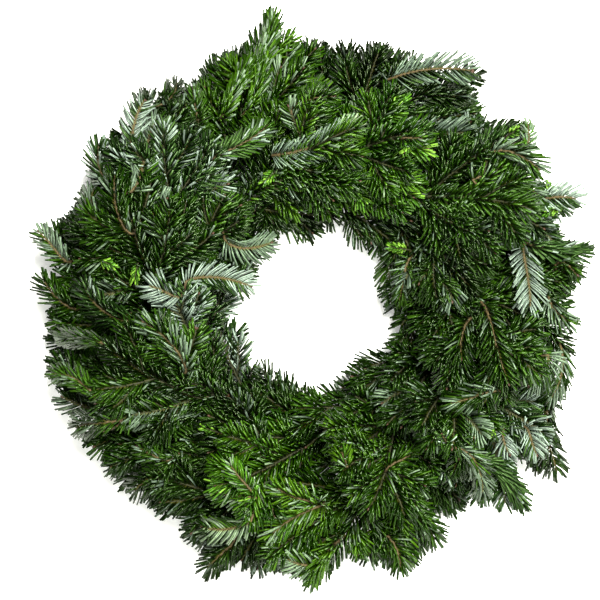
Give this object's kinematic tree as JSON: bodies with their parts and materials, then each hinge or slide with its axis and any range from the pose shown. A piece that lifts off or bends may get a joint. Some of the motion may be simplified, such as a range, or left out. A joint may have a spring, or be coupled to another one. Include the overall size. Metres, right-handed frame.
{
  "type": "fresh evergreen wreath",
  "caption": "Round wreath of overlapping fir sprays, all laid clockwise and held in clamps on a welded wire ring, with an open centre.",
  "frame": {"origin": "middle of the wreath's outline, on the surface that its wire frame lies on", "axes": "+Z out of the wreath's face, +Y towards its top and +X to the right as seen from the front"},
  "size_m": [0.5938, 0.611, 0.1224],
  "materials": {
    "frame_wire": "green lacquered wire",
    "fir_dark": "glossy dark green needles",
    "fir_green": "green needles",
    "fir_fresh": "young green needles",
    "fir_bright": "bright green new growth",
    "fir_silver": "needles with grey-green undersides showing"
  },
  "bodies": {
    "root": {"wire_frame": "frame_wire", "inner_spray_01": "fir_dark", "inner_spray_02": "fir_fresh", "inner_spray_03": "fir_dark", "inner_spray_04": "fir_green", "inner_spray_05": "fir_green", "inner_spray_06": "fir_dark", "inner_spray_07": "fir_silver", "inner_spray_08": "fir_silver", "inner_spray_09": "fir_dark", "inner_spray_10": "fir_dark", "upper_inner_spray_01": "fir_bright", "upper_inner_spray_02": "fir_dark", "upper_inner_spray_03": "fir_green", "upper_inner_spray_04": "fir_green", "upper_inner_spray_05": "fir_fresh", "upper_inner_spray_06": "fir_dark", "upper_inner_spray_07": "fir_green", "upper_inner_spray_08": "fir_silver", "upper_inner_spray_09": "fir_green", "upper_inner_spray_10": "fir_dark", "crown_spray_01": "fir_bright", "crown_spray_02": "fir_green", "crown_spray_03": "fir_green", "crown_spray_04": "fir_green", "crown_spray_05": "fir_fresh", "crown_spray_06": "fir_bright", "crown_spray_07": "fir_green", "crown_spray_08": "fir_green", "crown_spray_09": "fir_silver", "crown_spray_10": "fir_fresh", "upper_outer_spray_01": "fir_dark", "upper_outer_spray_02": "fir_silver", "upper_outer_spray_03": "fir_green", "upper_outer_spray_04": "fir_silver", "upper_outer_spray_05": "fir_fresh", "upper_outer_spray_06": "fir_dark", "upper_outer_spray_07": "fir_green", "upper_outer_spray_08": "fir_green", "upper_outer_spray_09": "fir_dark", "upper_outer_spray_10": "fir_fresh", "outer_spray_01": "fir_dark", "outer_spray_02": "fir_green", "outer_spray_03": "fir_green", "outer_spray_04": "fir_dark", "outer_spray_05": "fir_green", "outer_spray_06": "fir_silver", "outer_spray_07": "fir_green", "outer_spray_08": "fir_green", "outer_spray_09": "fir_dark", "outer_spray_10": "fir_dark"}
  },
  "joints": []
}
